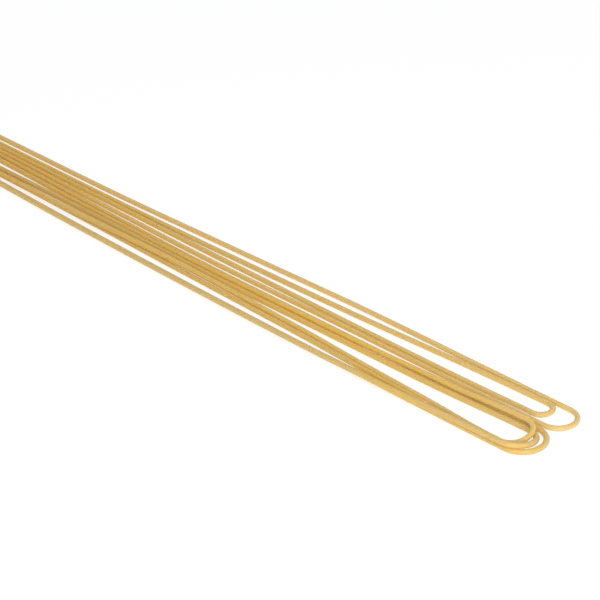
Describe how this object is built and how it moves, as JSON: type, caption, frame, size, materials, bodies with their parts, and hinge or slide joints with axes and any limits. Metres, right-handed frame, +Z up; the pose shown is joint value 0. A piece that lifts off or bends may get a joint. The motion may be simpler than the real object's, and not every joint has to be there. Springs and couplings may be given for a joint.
{
  "type": "bundle of dry spaghetti",
  "caption": "Flat bundle of long dry spaghetti strands folded in half into hairpins, with round bends at one end and cut ends at the other, and a straight loose strand.",
  "frame": {"origin": "on the table, under the middle of the bundle's bounding box", "axes": "+X along the strands towards their folds, +Y towards the widest pair of loops, which is the far side in the picture, +Z up"},
  "size_m": [0.3599, 0.0374, 0.0046],
  "materials": {
    "dry_pasta": "matte floury pale yellow dried durum wheat pasta with fine lengthwise drawing lines and tiny specks"
  },
  "bodies": {
    "root": {"folded_strand_a": "dry_pasta", "folded_strand_b": "dry_pasta", "folded_strand_c": "dry_pasta", "folded_strand_d": "dry_pasta", "folded_strand_e": "dry_pasta", "loose_strand": "dry_pasta"}
  },
  "joints": []
}
